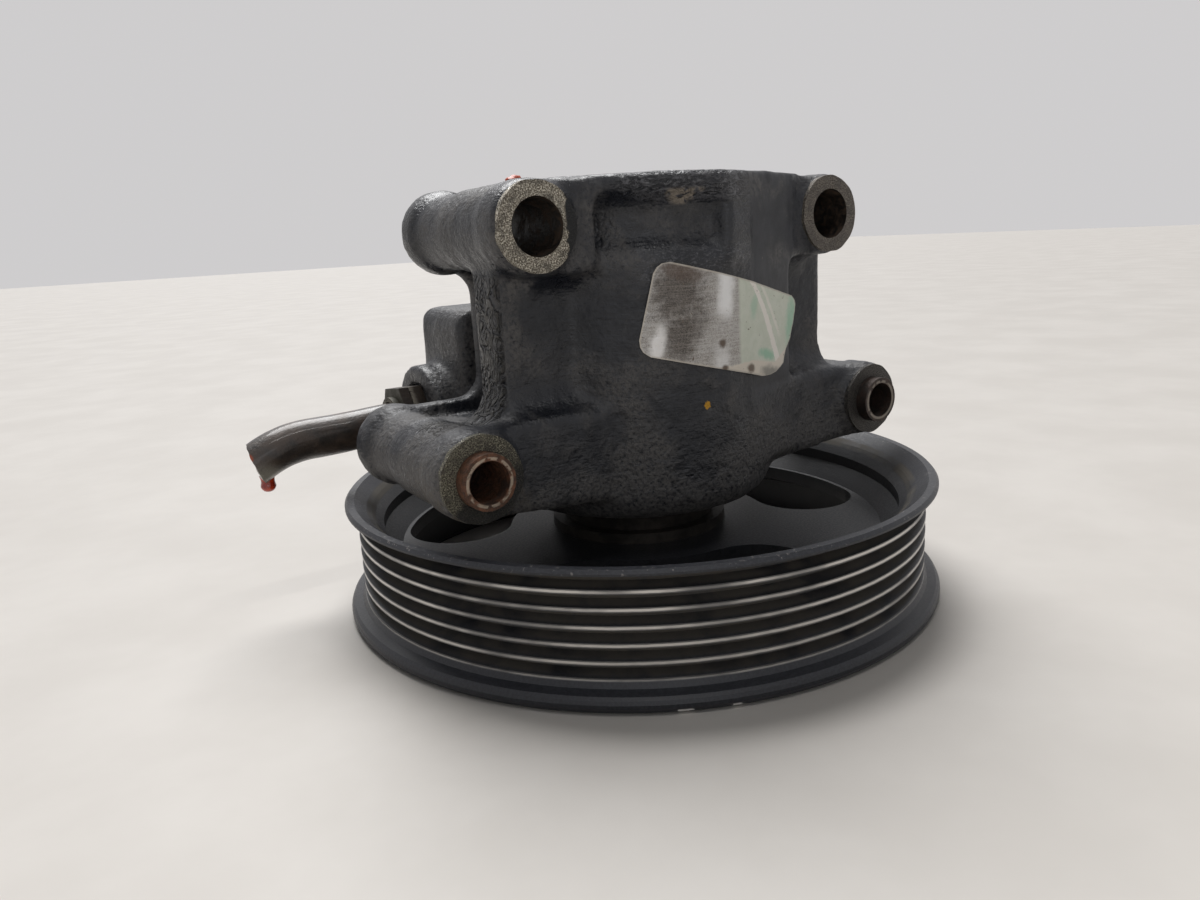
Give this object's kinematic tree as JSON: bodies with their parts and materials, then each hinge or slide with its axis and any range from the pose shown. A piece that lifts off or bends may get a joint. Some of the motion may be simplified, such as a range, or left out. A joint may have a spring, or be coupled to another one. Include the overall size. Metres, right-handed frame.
{
  "type": "power steering pump",
  "caption": "Vane-type power steering pump: black cast housing with long through-bolt bosses, ribbed belt pulley on the shaft, and a cut-off steel pressure tube.",
  "frame": {"origin": "middle of the shaft's front end, at the mouth of its tapped hole", "axes": "+Z along the shaft from the pulley to the rear cover; -Y out of the mounting faces; X along the bolt rows"},
  "size_m": [0.1605, 0.1474, 0.0987],
  "materials": {
    "black_casting": "worn satin black on rough casting",
    "black_pulley": "satin black, ribs worn bright",
    "dark_steel": "dull",
    "ground_steel": "ground",
    "spring_steel": "oiled",
    "brown_steel": "rusty brown",
    "oily_tube": "oily dark brown",
    "rusty_sleeve": "rusty with bright rims",
    "bush_bronze": "plain",
    "seal_rubber": "matte",
    "foil": "scuffed foil"
  },
  "bodies": {
    "pump_body": {"housing": "black_casting", "end_cover": "dark_steel", "cover_seal": "seal_rubber", "retaining_ring": "spring_steel", "pressure_spring": "spring_steel", "pressure_plate": "ground_steel", "plate_seal": "seal_rubber", "cam_ring": "ground_steel", "thrust_plate": "ground_steel", "dowel_pins": "ground_steel", "shaft_bush": "bush_bronze", "shaft_seal": "seal_rubber", "valve_spring": "spring_steel", "outlet_union": "brown_steel", "union_seal": "seal_rubber", "tube_nut": "brown_steel", "pressure_tube": "oily_tube", "inlet_spigot": "dark_steel", "inlet_seal": "seal_rubber", "mounting_sleeves": "rusty_sleeve", "foil_label": "foil"},
    "drive": {"drive_shaft": "ground_steel", "pulley": "black_pulley", "pulley_hub": "dark_steel", "rotor": "ground_steel", "vanes": "ground_steel", "rotor_clip": "spring_steel"},
    "flow_valve": {"valve_spool": "ground_steel"}
  },
  "joints": [
    {"name": "shaft_spin", "type": "hinge", "parent": "pump_body", "child": "drive", "pos_m": [0, 0, 0], "axis": [0, 0, 1], "continuous": true},
    {"name": "valve_slide", "type": "slide", "parent": "pump_body", "child": "flow_valve", "axis": [1, 0, 0], "range_m": [0, 0.006], "stiffness_N_per_m": 2000, "springref_m": -0.004, "deforming": ["valve_spring"]}
  ]
}
